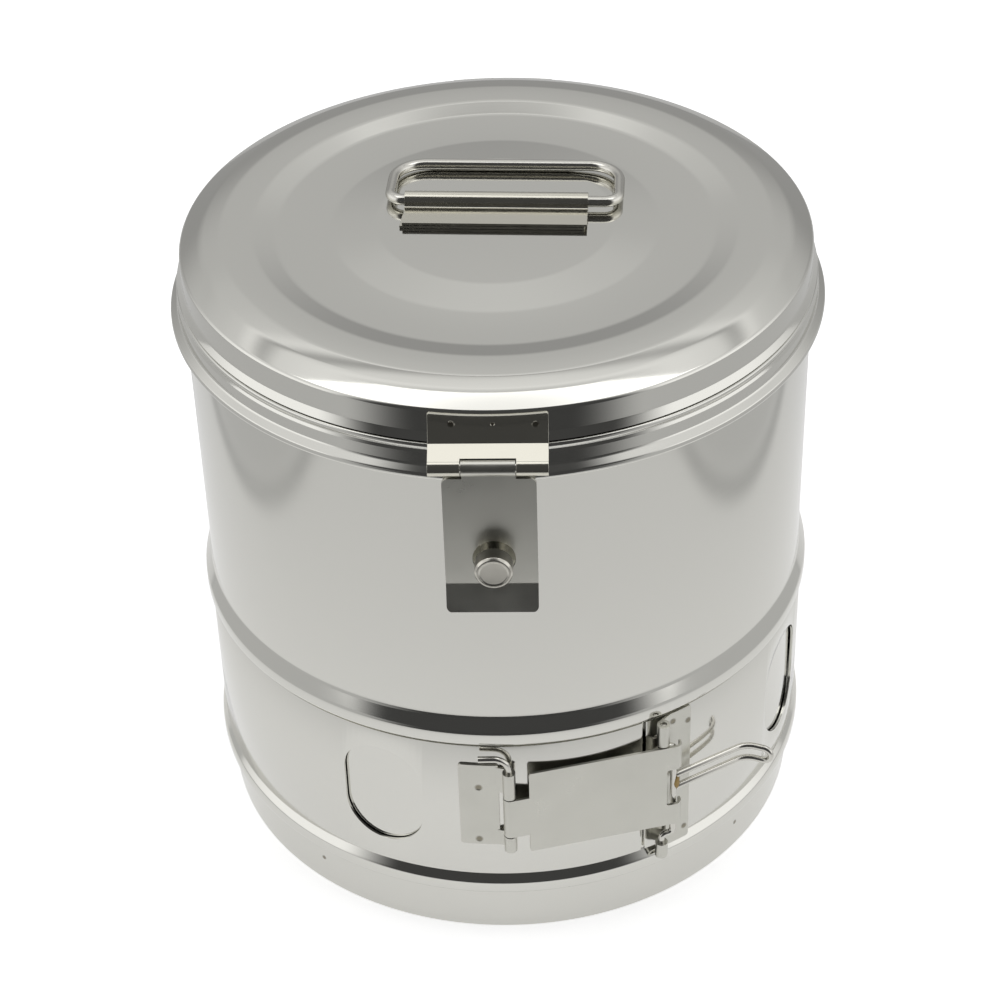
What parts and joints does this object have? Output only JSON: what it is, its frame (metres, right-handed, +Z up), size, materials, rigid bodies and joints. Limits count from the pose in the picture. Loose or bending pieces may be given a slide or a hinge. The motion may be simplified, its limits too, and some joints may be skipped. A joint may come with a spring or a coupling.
{
  "type": "sterilization drum",
  "caption": "Round polished-steel sterilization drum with a hinged lid, a folding carrying handle, a hasp over a stud, and a turning vent band held by a lever clamp.",
  "frame": {"origin": "on the ground on the drum's axis, at the centre of the foot ring", "axes": "+Z up along the drum's axis, -Y towards the hasp, +Y towards the lid's rear hinge, +X to the right of the hasp seen from outside"},
  "size_m": [0.25, 0.2669, 0.2645],
  "materials": {
    "polished_sheet": "mirror polished stainless sheet",
    "satin_sheet": "satin stainless sheet",
    "bright_wire": "bright drawn stainless wire and turned parts"
  },
  "bodies": {
    "drum": {"body_shell": "polished_sheet", "base_plate": "polished_sheet", "foot_ring": "polished_sheet", "latch_stud": "bright_wire", "stud_washer": "bright_wire", "rear_hinge_body_leaf": "satin_sheet", "rear_hinge_pin": "bright_wire"},
    "lid": {"lid_shell": "polished_sheet", "rear_hinge_lid_leaf": "satin_sheet", "front_hinge_leaf": "satin_sheet", "front_hinge_pin": "bright_wire", "handle_clip": "satin_sheet"},
    "carry_handle": {"handle_loop": "bright_wire"},
    "hasp": {"hasp_plate": "satin_sheet"},
    "vent_band": {"shutter_band": "polished_sheet", "clamp_left_bracket": "satin_sheet", "clamp_left_pin": "bright_wire", "clamp_right_bracket": "satin_sheet"},
    "clamp_link": {"clamp_plate": "satin_sheet"},
    "clamp_lever": {"crank_wire": "bright_wire", "lever_handle": "bright_wire"}
  },
  "joints": [
    {"name": "lid_hinge", "type": "hinge", "parent": "drum", "child": "lid", "pos_m": [0, 0.1284, 0.2364], "axis": [-1, 0, 0], "range_deg": [0, 110]},
    {"name": "carry_handle_hinge", "type": "hinge", "parent": "lid", "child": "carry_handle", "pos_m": [0.0003, 0.0075, 0.26115], "axis": [0.9993, -0.0384, 0], "range_deg": [0, 184]},
    {"name": "hasp_hinge", "type": "hinge", "parent": "lid", "child": "hasp", "pos_m": [0, -0.1284, 0.2364], "axis": [-1, 0, 0], "range_deg": [0, 150]},
    {"name": "band_turn", "type": "hinge", "parent": "drum", "child": "vent_band", "pos_m": [0, 0, 0.0664], "axis": [0, 0, 1], "range_deg": [-45, 45]},
    {"name": "lever_hinge", "type": "hinge", "parent": "vent_band", "child": "clamp_lever", "pos_m": [0.06243, -0.10945, 0.0688], "axis": [0, 0, -1], "range_deg": [0, 170]},
    {"name": "link_hinge", "type": "hinge", "parent": "vent_band", "child": "clamp_link", "pos_m": [0.00372, -0.12524, 0.067], "axis": [0, 0, -1], "range_deg": [0, 77]}
  ],
  "couplings": [
    {"joint": "link_hinge", "follows": "lever_hinge", "ratio": 0.45}
  ]
}
